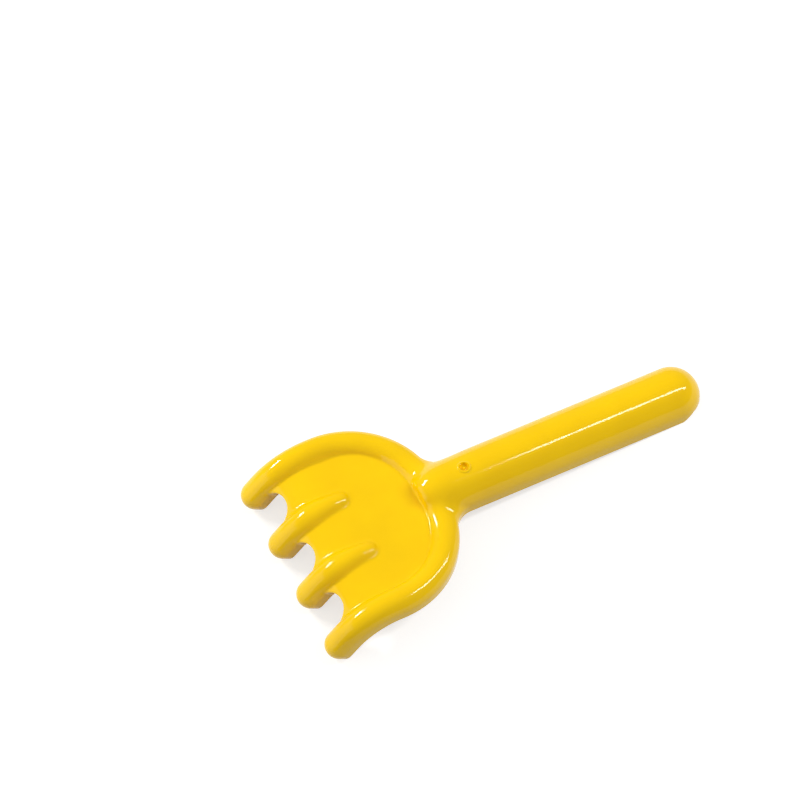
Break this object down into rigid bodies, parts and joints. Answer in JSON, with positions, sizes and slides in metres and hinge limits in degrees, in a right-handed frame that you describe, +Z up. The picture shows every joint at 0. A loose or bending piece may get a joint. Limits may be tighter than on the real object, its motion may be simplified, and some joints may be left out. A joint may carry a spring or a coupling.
{
  "type": "sand rake",
  "caption": "Moulded plastic sand rake for a child's hand, with a half-round hollow handle, a pan inside a rounded rim and round tines that bend down to the sand.",
  "frame": {"origin": "middle of the part's box, on the floor that the tine tips and the end of the handle rest on", "axes": "+X from the tines towards the end of the handle, +Y to the left of someone who looks along +X, +Z up"},
  "size_m": [0.2044, 0.097, 0.0283],
  "materials": {
    "moulding": "glossy, as moulded"
  },
  "bodies": {
    "root": {"handle_shell": "moulding", "handle_end": "moulding", "neck": "moulding", "rim_left": "moulding", "rim_right": "moulding", "pan": "moulding", "web_1": "moulding", "web_2": "moulding", "web_3": "moulding", "tine_1": "moulding", "tine_2": "moulding", "tine_3": "moulding", "tine_4": "moulding"}
  },
  "joints": []
}
